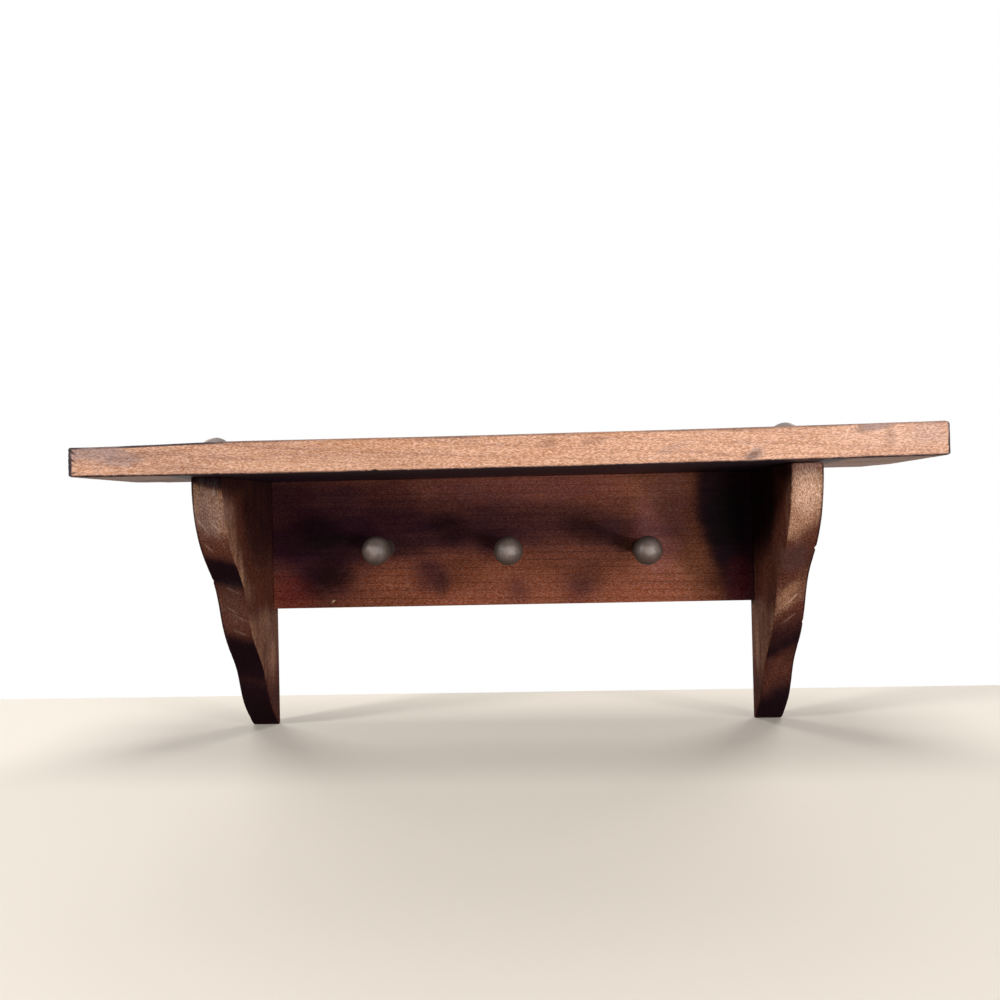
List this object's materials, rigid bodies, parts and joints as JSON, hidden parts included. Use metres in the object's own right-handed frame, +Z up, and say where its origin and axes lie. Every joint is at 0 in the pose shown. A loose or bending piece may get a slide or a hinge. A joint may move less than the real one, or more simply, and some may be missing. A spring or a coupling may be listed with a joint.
{
  "type": "trinket shelf",
  "caption": "Small wall shelf: a plain board on scrolled brackets, with a back board between them that carries a row of turned pegs.",
  "frame": {"origin": "on the wall plane, midway between the centres of the two keyhole plates' round entries", "axes": "+X to the right along the shelf as seen from the front, +Y into the wall, +Z up"},
  "size_m": [0.4952, 0.1397, 0.197],
  "materials": {
    "shelf_wood": "satin stain, warm salmon brown, worn at the arrises",
    "bracket_wood": "satin stain, red-brown, darker on the scrolled edge's end grain",
    "back_wood": "satin mahogany stain with long dark grain lines",
    "turned_wood": "satin stain, grey brown, paler where worn",
    "dowel_wood": "bare birch, hidden in the joints",
    "hanger_steel": "bright zinc plate",
    "screw_steel": "bright zinc plate"
  },
  "bodies": {
    "root": {"shelf_board": "shelf_wood", "back_board": "back_wood", "left_bracket": "bracket_wood", "right_bracket": "bracket_wood", "left_peg": "turned_wood", "middle_peg": "turned_wood", "right_peg": "turned_wood", "left_button": "turned_wood", "right_button": "turned_wood", "left_shelf_screw": "screw_steel", "right_shelf_screw": "screw_steel", "left_shelf_dowel": "dowel_wood", "right_shelf_dowel": "dowel_wood", "left_upper_back_dowel": "dowel_wood", "left_lower_back_dowel": "dowel_wood", "right_upper_back_dowel": "dowel_wood", "right_lower_back_dowel": "dowel_wood", "left_keyhole_plate": "hanger_steel", "right_keyhole_plate": "hanger_steel", "left_upper_plate_screw": "screw_steel", "left_lower_plate_screw": "screw_steel", "right_upper_plate_screw": "screw_steel", "right_lower_plate_screw": "screw_steel"}
  },
  "joints": []
}
